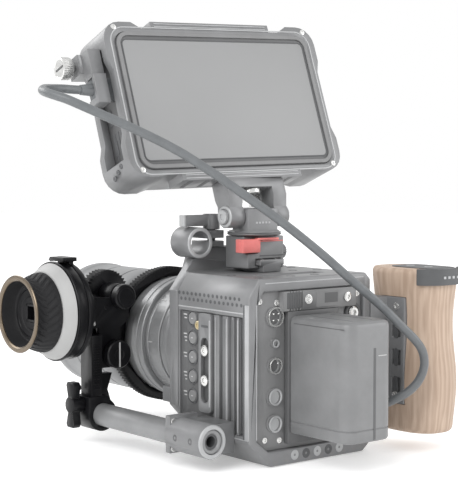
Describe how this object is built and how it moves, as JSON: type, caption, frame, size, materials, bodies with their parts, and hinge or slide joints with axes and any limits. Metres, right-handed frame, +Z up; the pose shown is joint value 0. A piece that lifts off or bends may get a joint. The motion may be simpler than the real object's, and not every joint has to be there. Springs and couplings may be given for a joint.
{
  "type": "cinema camera rig",
  "caption": "Box cinema camera in a metal cage with a prime lens, rod-mounted follow focus, rear battery, wooden side grip and a tilting monitor fed by a video cable.",
  "frame": {"origin": "on the cage's flat bottom face, on the lens's vertical plane, level with the cage's middle", "axes": "+X to the grip side, +Y the way the lens looks, +Z up"},
  "size_m": [0.2574, 0.2897, 0.2779],
  "materials": {
    "cage_grey": "satin anodised, hazed",
    "body_grey": "matt, hazed",
    "lens_grey": "satin anodised, hazed",
    "steel": "brushed",
    "black_metal": "satin black anodised",
    "black_plastic": "matt black",
    "black_rubber": "ribbed rubber",
    "white_disc": "matt write-on surface",
    "red_metal": "red anodised, hazed",
    "board_green": "solder resist",
    "cell_green": "cell wrap",
    "wood": "oiled",
    "clear_glass": "coated",
    "screen_grey": "anti-glare",
    "cable_black": "soft jacket, hazed"
  },
  "bodies": {
    "rig": {"cage_frame": "cage_grey", "cage_front_arch": "cage_grey", "top_nato_rail": "cage_grey", "camera_shell": "body_grey", "rear_panel": "body_grey", "side_panel": "body_grey", "heat_sink": "cage_grey", "locating_plate": "cage_grey", "sensor_board": "board_green", "main_board": "board_green", "lens_mount_ring": "steel", "battery_plate": "body_grey", "rod": "lens_grey", "rod_bracket": "cage_grey", "lens_barrel": "lens_grey", "lens_front_barrel": "lens_grey", "lens_front_glass": "clear_glass", "top_rod_clamp": "cage_grey", "nato_clamp": "cage_grey", "handle_grip": "wood", "handle_top_plate": "cage_grey", "handle_bracket": "cage_grey", "camera_plug": "cable_black", "video_cable_lower": "cable_black"},
    "button_one_body": {"button_one": "body_grey"},
    "button_two_body": {"button_two": "body_grey"},
    "button_three_body": {"button_three": "body_grey"},
    "button_record_body": {"button_record": "body_grey"},
    "button_power_body": {"button_power": "body_grey"},
    "battery": {"battery_case": "body_grey", "battery_cells": "cell_green"},
    "latch": {"battery_latch": "body_grey"},
    "iris": {"lens_iris_ring": "lens_grey"},
    "focus": {"lens_focus_ring": "lens_grey", "lens_gear_ring": "black_plastic"},
    "follow_focus": {"rod_clamp": "black_metal", "slide_arm": "black_metal", "gearbox": "black_metal"},
    "drive": {"drive_gear": "black_plastic", "drive_shaft": "black_metal"},
    "wheel": {"wheel_shaft": "black_metal", "hand_wheel": "black_rubber", "marking_disc": "white_disc"},
    "stops": {"stop_ring": "black_metal"},
    "wing_screw": {"rod_clamp_wing_screw": "black_metal"},
    "slide_lock": {"slide_knob": "black_metal"},
    "top_lever": {"top_clamp_lever": "cage_grey"},
    "red_lever": {"nato_lever": "red_metal"},
    "lock_knob": {"nato_lock_knob": "cage_grey"},
    "swivel": {"swivel_head": "cage_grey"},
    "monitor": {"tilt_yoke": "cage_grey", "monitor_screw": "steel", "monitor_cage": "cage_grey", "monitor_housing": "body_grey", "display_panel": "black_plastic", "screen_glass": "screen_grey", "hdmi_clamp": "cage_grey", "monitor_plug": "cable_black", "video_cable_upper": "cable_black"},
    "plug_screw": {"hdmi_clamp_screw": "steel"}
  },
  "joints": [
    {"name": "button_one_press", "type": "slide", "parent": "rig", "child": "button_one_body", "axis": [1, 0, 0], "range_m": [0, 0.0008], "stiffness_N_per_m": 400, "springref_m": -0.0004},
    {"name": "button_two_press", "type": "slide", "parent": "rig", "child": "button_two_body", "axis": [1, 0, 0], "range_m": [0, 0.0008], "stiffness_N_per_m": 400, "springref_m": -0.0004},
    {"name": "button_three_press", "type": "slide", "parent": "rig", "child": "button_three_body", "axis": [1, 0, 0], "range_m": [0, 0.0008], "stiffness_N_per_m": 400, "springref_m": -0.0004},
    {"name": "button_record_press", "type": "slide", "parent": "rig", "child": "button_record_body", "axis": [1, 0, 0], "range_m": [0, 0.0008], "stiffness_N_per_m": 400, "springref_m": -0.0004},
    {"name": "button_power_press", "type": "slide", "parent": "rig", "child": "button_power_body", "axis": [1, 0, 0], "range_m": [0, 0.0008], "stiffness_N_per_m": 400, "springref_m": -0.0004},
    {"name": "battery_slide", "type": "slide", "parent": "rig", "child": "battery", "axis": [0, 0, 1], "range_m": [0, 0.007]},
    {"name": "latch_slide", "type": "slide", "parent": "rig", "child": "latch", "axis": [0, 0, 1], "range_m": [0, 0.0018], "stiffness_N_per_m": 200, "springref_m": -0.0005},
    {"name": "iris_turn", "type": "hinge", "parent": "rig", "child": "iris", "pos_m": [0, 0.07, 0.0655], "axis": [0, 1, 0], "range_deg": [-30, 30]},
    {"name": "focus_turn", "type": "hinge", "parent": "rig", "child": "focus", "pos_m": [0, 0.104, 0.0655], "axis": [0, 1, 0], "range_deg": [-50, 50]},
    {"name": "follow_focus_slide", "type": "slide", "parent": "rig", "child": "follow_focus", "axis": [0, 1, 0], "range_m": [-0.012, 0.008]},
    {"name": "drive_turn", "type": "hinge", "parent": "follow_focus", "child": "drive", "pos_m": [-0.05435, 0.104, 0.09625], "axis": [0, 1, 0], "range_deg": [-150, 150]},
    {"name": "wheel_turn", "type": "hinge", "parent": "follow_focus", "child": "wheel", "pos_m": [-0.1, 0.092, 0.0885], "axis": [1, 0, 0], "range_deg": [-150, 150]},
    {"name": "stop_turn", "type": "hinge", "parent": "follow_focus", "child": "stops", "pos_m": [-0.0926, 0.092, 0.0885], "axis": [1, 0, 0], "range_deg": [-30, 30]},
    {"name": "wing_screw_turn", "type": "hinge", "parent": "follow_focus", "child": "wing_screw", "pos_m": [-0.087, 0.089, 0.026], "axis": [1, 0, 0], "range_deg": [-180, 180]},
    {"name": "slide_knob_turn", "type": "hinge", "parent": "follow_focus", "child": "slide_lock", "pos_m": [-0.0595, 0.08, 0.058], "axis": [0, 1, 0], "range_deg": [-180, 180]},
    {"name": "top_lever_turn", "type": "hinge", "parent": "rig", "child": "top_lever", "pos_m": [-0.018, 0.0315, 0.145], "axis": [0, 0, 1], "range_deg": [-90, 30]},
    {"name": "red_lever_turn", "type": "hinge", "parent": "rig", "child": "red_lever", "pos_m": [0.0052, -0.007, 0.137], "axis": [0, 0, 1], "range_deg": [0, 75]},
    {"name": "lock_knob_turn", "type": "hinge", "parent": "rig", "child": "lock_knob", "pos_m": [0.018, 0.007, 0.1275], "axis": [1, 0, 0], "range_deg": [-180, 180]},
    {"name": "swivel_turn", "type": "hinge", "parent": "rig", "child": "swivel", "pos_m": [-0.002, 0.007, 0.14], "axis": [0, 0, 1], "range_deg": [-30, 45], "deforming": ["video_cable_lower"]},
    {"name": "tilt_turn", "type": "hinge", "parent": "swivel", "child": "monitor", "pos_m": [-0.002, 0.007, 0.151], "axis": [1, 0, 0], "range_deg": [-18, 40], "deforming": ["video_cable_upper"]},
    {"name": "plug_screw_turn", "type": "hinge", "parent": "monitor", "child": "plug_screw", "pos_m": [-0.10785, 0.0652, 0.2444], "axis": [0.9969, -0.0739, 0.0263], "range_deg": [-180, 180]}
  ],
  "couplings": [
    {"joint": "drive_turn", "follows": "focus_turn", "ratio": -2.9},
    {"joint": "wheel_turn", "follows": "focus_turn", "ratio": 2.9}
  ]
}
